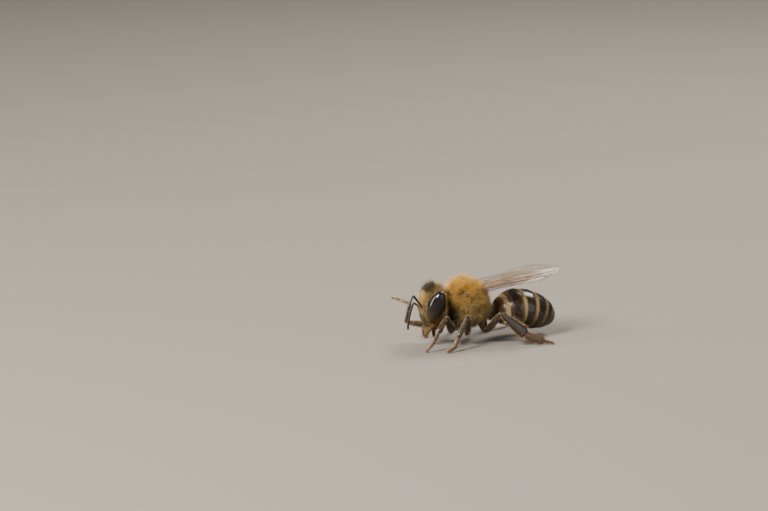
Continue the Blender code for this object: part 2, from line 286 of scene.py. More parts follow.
def limb_surface(start, end, profile, width, depth, flat, arch=0.0):
    """A long turned shape from start to end, width across and depth along flat, bowed towards flat by arch.

    profile holds (share of the length, share of the width), and starts and ends at no width.
    """
    start, end, flat = (np.asarray(value, dtype=float) for value in (start, end, flat))
    length = np.linalg.norm(end - start)
    along = (end - start) / length
    thin = flat - along * flat.dot(along)
    thin /= np.linalg.norm(thin)
    wide = np.cross(along, thin)
    at, size = np.array(profile).T

    def surface(d):
        t, angle = polar(d)
        reach = np.interp(t, at, size)
        return (start + (t * length)[:, None] * along
                + (np.cos(angle) * reach * depth / 2 + arch * np.sin(math.pi * t))[:, None] * thin
                + (np.sin(angle) * reach * width / 2)[:, None] * wide)

    surface.along, surface.thin = along, thin
    return surface


ROUND_ENDS = ((0, 0), (0.04, 0.6), (0.1, 0.9), (0.5, 1.0), (0.9, 0.9), (0.96, 0.6), (1, 0))
own(shaped("thorax_shell", thorax_surface, 96, 64, thorax_shell), "shell", "thorax")
neck_surface = limb_surface(*NECK_ENDS, ROUND_ENDS, NECK_WIDTH, NECK_WIDTH, (0, 0, 1))
own(shaped("neck_skin", neck_surface, 32, 20, thorax_shell), "shell", "neck")
waist_surface = limb_surface(*WAIST_ENDS, ROUND_ENDS, WAIST_WIDTH, WAIST_DEPTH, (0, 0, 1))
own(shaped("waist_stalk", waist_surface, 32, 20, thorax_shell), "shell", "waist")

# The coat of the thorax is dense branched hair, short on the flat of the back and long round its edge.
# Each tuft is a thin three-sided spike that starts under the shell and bends towards the lie of the coat.
ROOT_DEPTH = 0.03
FLOOR_HAIR = 0.03  # hair that would reach lower than this lies flat on the floor
UV_PATCH = 0.003


def roots(surface, count, seed, density, spare=4):
    """Random roots on a surface, as many to each square millimetre as density(point, direction) asks."""
    rng = np.random.default_rng(seed)
    d = unit(rng.normal(size=(count * spare, 3)))
    first = unit(np.cross(d, (0.31, 0.52, 0.8)))  # any way that no root happens to point
    second = np.cross(d, first)
    step = 0.01
    here = surface(d)
    out = np.cross(surface(unit(d + step * first)) - here, surface(unit(d + step * second)) - here)
    area = np.linalg.norm(out, axis=1)
    weight = area * density(here, d)
    picked = rng.choice(len(d), size=min(count, int((weight > 0).sum())), replace=False, p=weight / weight.sum())
    picked.sort()
    height, angle = polar(d[picked])
    return {"at": here[picked], "out": out[picked] / area[picked, None], "d": d[picked],
            "uv": np.stack((angle / (2 * math.pi) + 0.5, height), axis=1), "rng": rng}


def gather(*found):
    """Roots from several surfaces as one set."""
    together = {key: np.vstack([each[key] for each in found]) for key in ("at", "out", "d", "uv")}
    return together | {"rng": found[0]["rng"]}


def swirl(points, size, seed, waves=9):
    """A smooth random vector at each point, the sum of plane waves, which changes over about size millimetres."""
    rng = np.random.default_rng(seed)
    total = np.zeros(points.shape)
    for _ in range(waves):
        wave = rng.normal(size=3)
        wave *= rng.uniform(3.0, 7.0) / size / np.linalg.norm(wave)
        total += rng.normal(size=3) * np.sin(points @ wave + rng.uniform(0, 6.3))[:, None]
    return total / math.sqrt(waves)


def mark(mesh, name, values):
    mesh.attributes.new(name, "FLOAT", "POINT").data.foreach_set("value", values)


def grow(name, found, lie, lean, length, width, finish, steps=3, spread=0.25, tone=0.0, clump=0.0):
    """A coat of spikes. lean is the angle from upright at root and tip, in degrees; spread makes it uneven.

    tone (0 to 1) is how dark each tuft is, and clump is how strongly neighbours lean together.
    """
    rng, out, count = found["rng"], found["out"], len(found["at"])
    sides = 3
    points = steps * sides + 1  # a ring at each step, and the tip
    flat = np.asarray(lie, dtype=float) + rng.normal(scale=spread, size=out.shape)
    if clump:
        flat = flat + clump * swirl(found["at"], 0.9, 3)
        length = length * (1 + 0.35 * clump * swirl(found["at"], 0.6, 4)[:, 0])
    flat = unit(flat - out * (flat * out).sum(axis=1)[:, None] + 1e-6)
    shake = rng.normal(scale=spread * 30, size=count)
    low, high = (np.radians(np.clip(angle + shake, 0, 88))[:, None] for angle in lean)
    start = out * np.cos(low) + flat * np.sin(low)
    end = unit(out * np.cos(high) + flat * np.sin(high))
    length = (length * rng.uniform(0.75, 1.2, count))[:, None]
    width = (width * rng.uniform(0.8, 1.2, count))[:, None]
    side = unit(np.cross(start, out + 0.2 * flat + 1e-4))
    other = np.cross(start, side)
    root = found["at"] - ROOT_DEPTH * out
    rings = np.empty((count, points, 3))
    tip = np.empty((count, points))
    for k in range(steps):
        t = k / steps
        centre = root + length * (start * (t - t * t / 2) + end * t * t / 2)
        half = width / 2 * (1 - t) ** 0.6
        for j in range(sides):
            turn = 2 * math.pi * j / sides
            rings[:, k * sides + j] = centre + half * (math.cos(turn) * side + math.sin(turn) * other)
            tip[:, k * sides + j] = t
    rings[:, -1] = root + length * (start + end) / 2
    tip[:, -1] = 1.0
    height = rings[:, :, 2]
    rings[:, :, 2] = np.where(height < FLOOR_HAIR, FLOOR_HAIR + 0.25 * (height - FLOOR_HAIR), height)
    faces = [(0, 2, 1)]
    for k in range(0, (steps - 1) * sides, sides):
        for j in range(sides):
            after = (j + 1) % sides
            faces += [(k + j, k + after, k + sides + after), (k + j, k + sides + after, k + sides + j)]
    faces += [(points - 1 - sides + j, points - 1 - sides + (j + 1) % sides, points - 1) for j in range(sides)]
    corners = (np.array(faces)[None] + (np.arange(count) * points)[:, None, None]).ravel()
    mesh = bpy.data.meshes.new(name)
    mesh.vertices.add(count * points)
    mesh.vertices.foreach_set("co", place(rings.reshape(-1, 3)).ravel())
    mesh.loops.add(len(corners))
    mesh.loops.foreach_set("vertex_index", corners)
    mesh.polygons.add(len(corners) // 3)
    mesh.polygons.foreach_set("loop_start", np.arange(0, len(corners), 3))
    mesh.polygons.foreach_set("use_smooth", np.ones(len(corners) // 3, dtype=bool))
    mesh.update(calc_edges=True)
    patch = np.zeros((count, points, 2))
    patch[:, :, 0] = found["uv"][:, :1] + UV_PATCH * ((np.arange(points) % sides) - 1) / 2
    patch[:, :, 1] = found["uv"][:, 1:] + UV_PATCH * (tip - 0.5)
    patch = np.clip(patch, 0.0, 1.0).reshape(-1, 2)
    mesh.uv_layers.new(name="OFBake").data.foreach_set("uv", patch[corners].ravel())
    mark(mesh, "shade", np.repeat(rng.uniform(0, 1, count), points))
    mark(mesh, "tip", tip.ravel())
    mark(mesh, "tone", np.repeat(np.broadcast_to(tone, count), points))
    mesh.materials.append(finish)
    coat = bpy.data.objects.new(name, mesh)
    bpy.context.scene.collection.objects.link(coat)
    own(coat, "coat")


def attribute(finish, name):
    return add(finish, "Attribute", attribute_name=name).outputs["Fac"]


def height_colours(finish, stops, low, high):
    """A colour that changes with height above the floor, with a cloudy edge between the bands."""
    height = add(finish, "SeparateXYZ", {"Vector": spot(finish)}).outputs["Z"]
    share = span(finish, height, low * MM, high * MM)
    uneven = add(finish, "Math", {0: share, 1: span(finish, noise(finish, 1.2), 0.0, 1.0, -0.07, 0.07)},
                 operation="ADD").outputs["Value"]
    return ramp(finish, uneven, *(((at - low) / (high - low), colour) for at, colour in stops))


def hair_finish(name, *stops, low=0.0, high=6.0, dark=(0.022, 0.015, 0.01)):
    """Hair of these colours at these heights: darker at the root, paler at the tip, each tuft its own shade."""
    finish = new_finish(name, (0.4, 0.3, 0.15), 0.5, Specular_IOR_Level=0.3)
    main = blend(finish, attribute(finish, "tone"), height_colours(finish, stops, low, high), dark)
    grown = blend(finish, 1.0, main, ramp(finish, attribute(finish, "tip"), (0.0, (0.22, 0.19, 0.15)),
                                          (0.45, (0.72, 0.69, 0.64)), (1.0, (1.28, 1.23, 1.08))), "MULTIPLY")
    varied = blend(finish, 1.0, grown, ramp(finish, attribute(finish, "shade"), (0.0, (0.42, 0.38, 0.34)),
                                            (0.5, (0.9, 0.9, 0.9)), (1.0, (1.35, 1.33, 1.3))), "MULTIPLY")
    feed(finish, "Base Color", varied)
    return finish


thorax_hair = hair_finish(
    "thorax_hair", (1.5, (0.22, 0.17, 0.085)), (2.8, (0.36, 0.26, 0.11)), (4.3, (0.43, 0.28, 0.082)),
    (5.0, (0.49, 0.295, 0.058)), (5.5, (0.48, 0.27, 0.043)))

for part in (1, 2, 3):
    found = roots(thorax_surface, 11000, 10 + part, lambda p, d: 0.15 + 0.85 * smooth_step(d[:, 2], -1.0, -0.5))
    x, y, z = found["d"].T
    disc = smooth_step(z, 0.62, 0.85)
    fringe = hump(y, 0.72, 0.16) * smooth_step(z, 0.3, 0.6)
    front = smooth_step(-y, 0.62, 0.92) * smooth_step(z, -0.2, 0.3)
    length = 0.54 - 0.08 * disc + 0.16 * fringe + 0.1 * front
    lie = columns(0.15 * x, 0.55 + 0.25 * y - 0.55 * front, -0.75 + 0.6 * smooth_step(z, 0.0, 0.8) - 0.3 * front)
    worn = smooth_step(swirl(found["at"], 0.8, 9)[:, 0], 0.1, 0.7) * (1 - disc)
    # Painted shade: the hair on the thorax's sides just under the wings is darker.
    under_wing_shade = hump(z, 0.16, 0.26) * hump(y, 0.1, 0.5) * (np.abs(x) > 0.3)
    # Painted shade: shaded darkens the hair low on the thorax's front where the head shades it, though the collar
    # hair there is also a little darker of itself.
    shaded = smooth_step(-y, 0.4, 0.75) * (1 - smooth_step(z, 0.05, 0.4))
    grow(f"thorax_coat_{part}", found, lie, (38 - 20 * disc, 66 - 20 * disc), length, 0.024, thorax_hair,
         spread=0.45, tone=np.clip(0.8 * shaded + 0.4 * worn + 0.35 * under_wing_shade, 0, 0.9), clump=0.7)
found = roots(thorax_surface, 6000, 14, lambda p, d: 0.25 + smooth_step(d[:, 2], -0.6, 0.4))
x, y, z = found["d"].T
lie = columns(0.2 * x, 0.5 + 0.4 * y, -0.3 + 0.4 * z)
# The long hair low on the thorax's front is darkened as painted shade from the head.
grow("thorax_long_hair", found, lie, (10, 40), 0.7 + 0.16 * smooth_step(z, 0.2, 0.7), 0.018, thorax_hair,
     spread=0.6, tone=0.6 * smooth_step(-y, 0.45, 0.8) * (1 - smooth_step(z, 0.0, 0.3)), clump=0.5)
found = roots(waist_surface, 560, 15, lambda p, d: np.abs(d[:, 2]) < 0.7)
# The waist's hair is darkened as painted shade between the thorax and the abdomen.
grow("waist_coat", found, (0, 0.6, -0.3), (20, 50), 0.3, 0.02, thorax_hair, tone=0.35)

# The head is a hard wedge, broad between the eyes and narrow at the jaws. The face bulges in a shield, the
# clypeus, above the mouth, with the two feeler sockets over it.
HEAD = np.array((-0.15, -3.27, 3.31))
HEAD_TURN = np.array(Euler((math.radians(-3), 0, math.radians(-6))).to_matrix())
HEAD_RADII = np.array((1.64, 1.06, 1.88))
SHIELD_BULGE, SOCKET_DEPTH, PARTING_DEPTH = 0.13, 0.1, 0.04


def of_head(points):
    return np.asarray(points, dtype=float) @ HEAD_TURN.T + HEAD


def head_local(d):
    x, y, z = d.T
    mouth = smooth_step(-z, 0.0, 1.0)
    crown = smooth_step(z, 0.35, 1.0)
    hollow = 1 - smooth_step(np.hypot(x, z), 0.25, 0.75)
    px = x * (1 - 0.46 * mouth - 0.1 * crown)
    py = np.where(y > 0, 0.7 * np.abs(y) ** 0.6 - 0.18 * hollow, y * (1 - 0.06 * mouth))
    p = columns(px, py + 0.1 * crown, z * (1 - 0.05 * crown)) * HEAD_RADII
    shield = (1 - smooth_step(np.hypot(x / (0.42 - 0.2 * (z + 0.6)), (z + 0.62) / 0.42), 0.75, 1.1)) * (y < 0)
    sockets = hump(np.abs(x), 0.21, 0.07) * hump(z, -0.06, 0.06) * (y < 0)
    parting = hump(x, 0.0, 0.03) * smooth_step(z, 0.0, 0.2) * (1 - smooth_step(z, 0.7, 0.9)) * (y < 0)
    p[:, 1] -= SHIELD_BULGE * shield - SOCKET_DEPTH * sockets - PARTING_DEPTH * parting
    return p


def head_surface(d):
    return of_head(head_local(d))


head_shell = shell_finish("head_shell", (0.022, 0.014, 0.01), (0.07, 0.04, 0.02), 0.4)
own(shaped("head_capsule", head_surface, 112, 84, head_shell), "shell", "head")

# Each compound eye is a tall glossy dome of thousands of hexagonal lenses, set in the side of the head.
# The three simple eyes are small glassy beads in a triangle on the crown.
SIDES = (("left", 1), ("right", -1))
EYE = np.array((1.46, -0.22, 0.42))
EYE_RADII = np.array((0.58, 0.7, 1.42))
LENSES_PER_MM = 26
BEAD_RADII = (0.12, 0.12, 0.1)


def eye_turn(sign):
    return np.array(Euler((math.radians(-17), math.radians(9 * sign), math.radians(-14 * sign))).to_matrix())


eye_gloss = new_finish("eye_gloss", (0.01, 0.008, 0.007), 0.14, Specular_IOR_Level=0.32)
lenses = add(eye_gloss, "TexVoronoi", {"Vector": spot(eye_gloss), "Scale": LENSES_PER_MM / MM, "Randomness": 0.35},
             feature="F1")
eye_height = add(eye_gloss, "SeparateXYZ", {"Vector": spot(eye_gloss)}).outputs["Z"]
eye_tone = blend(eye_gloss, span(eye_gloss, eye_height, 2.3 * MM, 3.6 * MM), (0.075, 0.05, 0.015),
                 (0.01, 0.008, 0.008))
feed(eye_gloss, "Base Color", blend(eye_gloss, span(eye_gloss, lenses.outputs["Distance"], 0.3, 0.7), eye_tone,
                                    (0.004, 0.003, 0.003)))
bump(eye_gloss, lenses.outputs["Distance"], 0.12, 0.006)
for side, sign in SIDES:
    centre, turn = EYE * (sign, 1, 1), eye_turn(sign)
    eye = shaped(f"compound_eye_{side}", lambda d: of_head((d * EYE_RADII) @ turn.T + centre), 72, 56, eye_gloss)
    own(eye, "eye", f"eye_{side}")
beads = []
for x, y in ((0.0, -0.3), (0.2, -0.02), (-0.2, -0.02)):
    top = head_local(unit(np.array([(x, y, 1.0)])))[0]
    beads.append(shaped("bead", lambda d: of_head(d * BEAD_RADII + top), 20, 14, eye_gloss))
own(join("simple_eyes", beads), "eye")

# The jaws are two spoon-shaped blades that meet under the upper lip. The tongue is a hairy rod between two long
# blades of the cheeks' sheath and hangs folded behind them.
JAW_ROOT, JAW_TIP = np.array((0.68, -0.4, -1.58)), np.array((0.14, -0.58, -2.72))
JAW_WIDTH, JAW_DEPTH, JAW_BOW = 0.46, 0.2, 0.12
JAW = ((0, 0), (0.04, 0.8), (0.14, 1.0), (0.38, 0.7), (0.62, 0.62), (0.8, 0.72), (0.9, 0.58), (0.96, 0.34), (1, 0))
LIP_ENDS, LIP_WIDTH, LIP_DEPTH = ((0, -0.6, -1.5), (0, -0.56, -2.02)), 0.62, 0.16
ROD_ENDS, ROD_WIDTH, ROD_DEPTH, ROD_BOW = ((0, 0.26, -1.7), (0, 0.36, -2.96)), 0.2, 0.18, -0.05
SHEATH_ROOT, SHEATH_TIP = np.array((0.15, 0.18, -1.66)), np.array((0.09, 0.28, -2.74))
SHEATH_WIDTH, SHEATH_DEPTH, SHEATH_BOW = 0.14, 0.26, -0.08
jaw_shell = shell_finish("jaw_shell", (0.01, 0.006, 0.004), (0.034, 0.014, 0.007), 0.42, 14.0)
TAPER = ((0, 0), (0.03, 0.55), (0.1, 0.85), (0.35, 1.0), (0.75, 0.85), (0.93, 0.6), (0.98, 0.35), (1, 0))


def head_limb(*sizes):
    """A limb_surface() whose start, end and flat turn with the head."""
    upright = limb_surface(*sizes)
    return lambda d: of_head(upright(d))


blades = []
for side, sign in SIDES:
    mirror = (sign, 1, 1)
    blades.append(head_limb(JAW_ROOT * mirror, JAW_TIP * mirror, JAW, JAW_WIDTH, JAW_DEPTH, (0.55 * sign, -0.8, 0),
                            JAW_BOW))
    own(shaped(f"jaw_{side}", blades[-1], 28, 40, jaw_shell), "shell", f"mandible_{side}")
lip_surface = head_limb(*LIP_ENDS, ROUND_ENDS, LIP_WIDTH, LIP_DEPTH, (0, 1, 0))
own(shaped("upper_lip", lip_surface, 28, 16, jaw_shell), "shell")
tongue = [shaped("rod", head_limb(*ROD_ENDS, TAPER, ROD_WIDTH, ROD_DEPTH, (0, 1, 0), ROD_BOW), 20, 40, jaw_shell)]
for _, sign in SIDES:
    mirror = (sign, 1, 1)
    sheath = head_limb(SHEATH_ROOT * mirror, SHEATH_TIP * mirror, TAPER, SHEATH_WIDTH, SHEATH_DEPTH,
                       (0.2 * sign, 1, 0), SHEATH_BOW)
    tongue.append(shaped("sheath", sheath, 20, 28, jaw_shell))
own(join("folded_tongue", tongue), "shell", "tongue")

# A feeler has a long first joint in a socket of the face and a whip of an elbow joint and ten short drums.
# Its shell is dark and dull.
feeler_shell = shell_finish("feeler_shell", (0.01, 0.007, 0.006), (0.036, 0.02, 0.012), 0.5, 26.0)
FEELERS = {"left": ((0.34, -0.98, -0.08), (0.62, -2.1, 1.22), (1.02, -2.84, -1.04)),
           "right": ((-0.34, -0.98, -0.08), (-0.5, -1.66, 0.34), (-0.9, -1.9, -2.15))}
STEM_WIDTH, STEM_DEPTH, STEM_BOW = 0.2, 0.19, 0.04
STEM = ((0, 0), (0.02, 0.7), (0.06, 1.0), (0.1, 0.55), (0.18, 0.8), (0.6, 0.95), (0.92, 1.15), (0.98, 0.7), (1, 0))
WHIP_WIDTH, WHIP_BOW = 0.21, 0.1
DRUMS = 11
drum_profile = [(0, 0), (0.006, 0.45)]
for i in range(DRUMS):
    wide = 0.82 if i == 0 else 1.0
    drum_profile += [((i + 0.1) / DRUMS, wide * 0.95), ((i + 0.3) / DRUMS, wide), ((i + 0.8) / DRUMS, wide),
                     ((i + 0.97) / DRUMS, wide * 0.92 if i < DRUMS - 1 else 0.55)]
drum_profile.append((1, 0))
for side, (root, elbow, tip) in FEELERS.items():
    stem = head_limb(root, elbow, STEM, STEM_WIDTH, STEM_DEPTH, (1, 0, 0), STEM_BOW)
    own(shaped(f"feeler_stem_{side}", stem, 20, 36, feeler_shell), "shell", f"scape_{side}")
    whip = head_limb(elbow, tip, drum_profile, WHIP_WIDTH, WHIP_WIDTH, (0, -1, 0.3), WHIP_BOW)
    own(shaped(f"feeler_whip_{side}", whip, 20, 88, feeler_shell), "shell", f"flagellum_{side}")


# The coat of the head is short and pale on the face and cheeks, thin on the shield over the mouth, and stands in a
# ragged dark crest on the front of the crown. None grows on the eyes. The neck, the jaws and the lip have hair too.
def outside_eyes(points):
    keep = np.ones(len(points))
    for sign in (1, -1):
        local = ((points - of_head(EYE * (sign, 1, 1))) @ HEAD_TURN) @ eye_turn(sign)
        keep *= ((local / (EYE_RADII * 0.98)) ** 2).sum(axis=1) > 1
    return keep


head_hair = hair_finish(
    "head_hair", (1.3, (0.36, 0.2, 0.075)), (2.1, (0.34, 0.225, 0.09)), (3.2, (0.36, 0.26, 0.115)),
    (4.4, (0.45, 0.32, 0.12)), (5.1, (0.24, 0.18, 0.085)), low=1.0, dark=(0.04, 0.03, 0.018))


def crest_at(points, d):
    """How far each point is in the ragged dark crest on the front of the crown, between the eyes."""
    x, y, z = d.T
    ragged = swirl(points, 0.5, 5)
    return (smooth_step(z + 0.16 * ragged[:, 0], 0.52, 0.82) * (1 - smooth_step(y + 0.16 * ragged[:, 1], -0.26, 0.1))
            * (1 - smooth_step(np.abs(x) + 0.14 * ragged[:, 2], 0.24, 0.66)))


def shield_at(d):
    """How far each direction is on the shield over the mouth, which widens towards the mouth."""
    x, y, z = d.T
    return (1 - smooth_step(np.hypot(x / (0.46 - 0.2 * (z + 0.6)), (z + 0.62) / 0.44), 0.45, 1.15)) * (y < 0)


for part in (1, 2):
    found = roots(head_surface, 8500, 20 + part, lambda p, d: outside_eyes(p) * (1 - 0.8 * shield_at(d)))
    x, y, z = found["d"].T
    crown = smooth_step(z, 0.7, 0.92)
    shield = shield_at(found["d"])
    behind = smooth_step(y, 0.05, 0.5)
    forehead = hump(z, 0.42, 0.22)
    length = 0.24 + 0.18 * crown + 0.16 * behind - 0.11 * shield + 0.16 * forehead * (y < 0)
    lie = columns(0.25 * x, -0.25 + 0.9 * behind - 0.5 * crown, -0.5 + 0.9 * crown) @ HEAD_TURN.T
    crest = crest_at(found["at"], found["d"])
    brow = forehead * (1 - smooth_step(np.abs(x), 0.3, 0.6)) * (y < 0)
    # Painted shade: a dark streak of hair down each side of the face, beside the shield and below the feeler sockets.
    clypeus_side_shade = hump(np.abs(x), 0.36, 0.16) * smooth_step(-z, -0.05, 0.25) * (y < 0)
    # Painted shade: face darkens all the hair on the front of the head by 0.3.
    face = smooth_step(-y, 0.15, 0.6)
    dark = np.maximum(0.95 * crest + 0.6 * shield + 0.6 * clypeus_side_shade, 0.3 * face)
    grow(f"head_coat_{part}", found, lie, (24 - 14 * crown - 14 * brow, 54 - 24 * crown - 24 * brow), length,
         0.019, head_hair, tone=np.clip(dark, 0, 0.95), clump=0.6)
found = roots(head_surface, 3000, 24, lambda p, d: outside_eyes(p) * (
    smooth_step(d[:, 2], 0.05, 0.6) + 0.5 * smooth_step(d[:, 1], 0.1, 0.5) + 2.5 * crest_at(p, d)))
x, y, z = found["d"].T
crest = crest_at(found["at"], found["d"])
lie = columns(0.3 * x, 0.9 * y, 0.5) @ HEAD_TURN.T
grow("head_long_hair", found, lie, (4, 26), 0.42 + 0.4 * crest, 0.017 + 0.006 * crest, head_hair, spread=0.5,
     tone=np.clip(1.3 * crest, 0, 1), clump=0.5)
found = roots(neck_surface, 1800, 23, lambda p, d: np.abs(d[:, 2]) < 0.75)
# The neck's hair is darkened as painted shade between the head and the thorax.
grow("neck_coat", found, (0, -0.4, 0.2), (15, 40), 0.5, 0.024, head_hair, tone=0.45, clump=0.4)
found = gather(*(roots(blade, 640, 25 + k, lambda p, d: (d[:, 2] < 0.93) * (1.3 - d[:, 2]))
                 for k, blade in enumerate(blades)))
grow("jaw_coat", found, unit(np.array((0, -0.2, -1.0))) @ HEAD_TURN.T, (30, 55), 0.22, 0.015, head_hair, steps=2,
     tone=0.25)
found = roots(lip_surface, 420, 28, lambda p, d: (d[:, 2] < 0.9) * (0.4 + 1.6 * (d[:, 2] > 0.4)))
grow("lip_coat", found, unit(np.array((0, -0.3, -1.0))) @ HEAD_TURN.T, (25, 55), 0.2, 0.015, head_hair, steps=2,
     tone=0.2)

# The abdomen is six shell plates round a middle line that bends down, each tucked under the rear edge of the one
# before. The shell is a glossy blackish brown, with a paler strip at the front of the middle plates.
ABDOMEN_START = np.array((0.0, 2.3, 2.5))
ABDOMEN_LENGTH = 6.1
ABDOMEN_WIDTH = 4.0
ABDOMEN_FLATNESS = 0.88
PLATE_EDGES = (0.0, 0.8, 2.2, 3.3, 4.35, 5.25, 6.1)
PLATES = 6
BAND = 0.31
TUCK = 0.28
line_at = np.linspace(0.0, ABDOMEN_LENGTH + 0.2, 200)
line_pitch = np.radians(-2 + 30 * smooth_step(line_at, 0.5, ABDOMEN_LENGTH))
line_step = line_at[1] * columns(0.0, np.cos(line_pitch), -np.sin(line_pitch))
line_points = ABDOMEN_START + np.vstack((np.zeros(3), np.cumsum(line_step[:-1], axis=0)))


def abdomen_point(s, angle, radius):
    centre = columns(*(np.interp(s, line_at, line_points[:, k]) for k in range(3)))
    pitch = np.interp(s, line_at, line_pitch)
    across, rise = np.cos(angle) * radius, np.sin(angle) * radius * ABDOMEN_FLATNESS
    return centre + columns(across, rise * np.sin(pitch), rise * np.cos(pitch))


def abdomen_radius(s):
    t = np.clip(s / ABDOMEN_LENGTH, 0, 1)
    front = np.sin(np.minimum(t / 0.4, 1.0) * math.pi / 2) ** 0.62
    back = np.sqrt(np.maximum(1 - np.maximum((t - 0.4) / 0.61, 0.0) ** 2.1, 0.0))
    return np.maximum(ABDOMEN_WIDTH / 2 * front * back, 0.05)


def plate_surface(i):
    """The plate between two edges: a drum whose front is tucked in and whose rear edge stands a little proud."""
    start, end = PLATE_EDGES[i], PLATE_EDGES[i + 1]
    tucked = start - (TUCK if i else 0.0)
    last = i == PLATES - 1

    def surface(d):
        t, angle = polar(d)
        s = tucked + (end - tucked) * np.clip((t - 0.1) / (0.9 if last else 0.76), 0, 1)
        share = np.minimum(t / 0.1, 1.0)
        if not last:
            share = share * (1 - smooth_step(t, 0.86, 1.0)) ** 0.35
            s = s + 0.02 * smooth_step(t, 0.84, 0.88) - 0.06 * smooth_step(t, 0.9, 0.96)
        rise = 0.955 + 0.012 * smooth_step(s, start - 0.05, start) + 0.035 * smooth_step(s, start, end)
        belly = smooth_step(-np.sin(angle), 0.36, 0.42)
        return abdomen_point(s, angle, abdomen_radius(s) * share * (rise - 0.025 * belly))

    return surface


def distance_along(points):
    """How far along the abdomen's middle line each point is."""
    flat = points[:, None, :] - line_points[None, ::4, :]
    return line_at[::4][np.argmin((flat ** 2).sum(axis=2), axis=1)]


plate_shell = shell_finish("plate_shell", (0.007, 0.005, 0.004), (0.018, 0.01, 0.006), 0.2, 16.0, 0.1)
plate_base = plate_shell.node_tree.nodes["Principled BSDF"].inputs["Base Color"].links[0].from_socket
banded_base = blend(plate_shell, attribute(plate_shell, "band"), plate_base, (0.42, 0.31, 0.13))
feed(plate_shell, "Base Color", blend(plate_shell, attribute(plate_shell, "rim"), banded_base, (0.085, 0.036, 0.014)))
for i in range(PLATES):
    plate = shaped(f"abdomen_plate_{i + 1}", plate_surface(i), 96, 44, plate_shell)
    own(plate, "plate", f"abdomen_{i + 1}")
    points = (points_of(plate.data) - FLOOR_POINT) / MM
    s = distance_along(points)
    start, end = PLATE_EDGES[i], PLATE_EDGES[i + 1]
    banded = (1 - smooth_step(s, start + BAND - 0.06, start + BAND + 0.06)) if 1 <= i <= 4 else 0 * s
    banded = banded * (0.2 + 0.8 * smooth_step(points[:, 2], 0.9, 1.5))  # the bands fade on the belly
    mark(plate.data, "band", banded)
    mark(plate.data, "rim", 0.7 * smooth_step(s, end - 0.12, end) if i < PLATES - 1 else 0 * s)

# The bands of the abdomen are mats of short flat hair at the front of the middle plates. The first plate has long
# hair like the thorax, and thin dark bristles lie on the rest, with a pale fringe low on the sides.
band_hair = hair_finish("band_hair", (0.5, (0.66, 0.56, 0.36)), (2.2, (0.8, 0.66, 0.34)), (3.6, (0.8, 0.63, 0.27)))
side_hair = hair_finish("side_hair", (1.0, (0.36, 0.29, 0.16)), (2.1, (0.3, 0.21, 0.09)), (2.7, (0.03, 0.02, 0.012)))


def plate_roots(i, count, seed, low, high, above=-1.1):
    """Roots on one plate from low to high along it, and only where the shell faces higher than above."""
    def density(points, d):
        s = distance_along(points)
        t, angle = polar(d)
        outer = (s > max(low, PLATE_EDGES[i])) * (s < high)
        return outer * (t > 0.1) * (t < 0.86 if i < PLATES - 1 else 1.0) * (np.sin(angle) > above)

    found = roots(plate_surface(i), count, seed, density, 12)
    found["uv"] = (found["uv"] + (i % 3, i // 3)) / (3, 2)  # each plate has its own tile of the map
    return found


back_along = np.array((0.0, math.cos(0.25), -math.sin(0.25)))
found = gather(*(plate_roots(i, count, 31 + i, PLATE_EDGES[i], PLATE_EDGES[i] + BAND, -0.8)
                 for i, count in ((1, 3600), (2, 4400), (3, 4200), (4, 3200))))
grow("abdomen_bands", found, back_along, (58, 76), 0.2, 0.032, band_hair, steps=2, spread=0.2)
found = gather(plate_roots(0, 3800, 41, 0.05, 0.8, -1.1), plate_roots(1, 2200, 42, 0.8, 1.45, -0.3))
grow("abdomen_front_coat", found, back_along, (22, 56), 0.46, 0.024, thorax_hair, clump=0.4)
found = gather(*(plate_roots(i, count, 51 + i, PLATE_EDGES[i] + 0.3, PLATE_EDGES[i + 1] - 0.03)
                 for i, count in ((1, 1000), (2, 1000), (3, 950), (4, 900), (5, 700))))
grow("abdomen_bristles", found, back_along, (50, 70), 0.22, 0.016, side_hair, steps=2, spread=0.2)
found = gather(*(plate_roots(i, count, 61 + i, PLATE_EDGES[i + 1] - 0.16, PLATE_EDGES[i + 1] - 0.01)
                 for i, count in ((1, 700), (2, 700), (3, 650), (4, 500))))
low_side = smooth_step(-found["out"][:, 2], -0.25, 0.25)
grow("abdomen_fringe", found, back_along, (50, 70), 0.12 + 0.22 * low_side, 0.022, side_hair, steps=2)

# Each leg is hip, a small ring, thigh, shin, a long first foot joint, three short heart-shaped ones and a last one
# with two claws and a pad. The shell is dark brown and warmer towards the foot. Each leg is one piece, and its
# claws are another.
LEGS = {  # hip, ring, knee, ankle, heel and toe
    "fore_left": ((0.5, -1.45, 2.4), (1.0, -2.15, 1.22), (2.0, -2.95, 2.8), (2.6, -4.0, 1.76),
                  (2.42, -4.42, 0.74), (2.32, -4.98, 0.0)),
    "fore_right": ((-0.52, -1.5, 2.4), (-1.34, -2.95, 1.4), (-2.3, -4.9, 1.7), (-2.14, -4.5, 3.3),
                   (-2.56, -5.3, 3.68), (-2.88, -5.98, 3.88)),
    "mid_left": ((0.78, -0.4, 2.0), (1.3, -0.72, 0.98), (2.52, -1.2, 2.86), (3.02, -2.3, 1.25),
                 (3.18, -2.8, 0.34), (3.36, -3.5, 0.0)),
    "mid_right": ((-0.78, -0.3, 2.0), (-1.32, -0.3, 0.98), (-2.74, -0.1, 2.8), (-3.5, 0.2, 1.16),
                  (-3.96, 0.5, 0.34), (-4.3, 1.0, 0.0)),
    "hind_left": ((0.74, 0.85, 2.3), (1.3, 1.1, 1.0), (2.7, 1.9, 2.86), (3.6, 3.8, 1.04),
                  (3.92, 5.44, 0.36), (4.06, 6.4, 0.0)),
    "hind_right": ((-0.74, 0.85, 2.3), (-1.3, 1.15, 1.0), (-2.6, 2.1, 2.86), (-3.4, 4.22, 1.06),
                   (-3.8, 5.9, 0.36), (-4.0, 6.86, 0.0)),
}
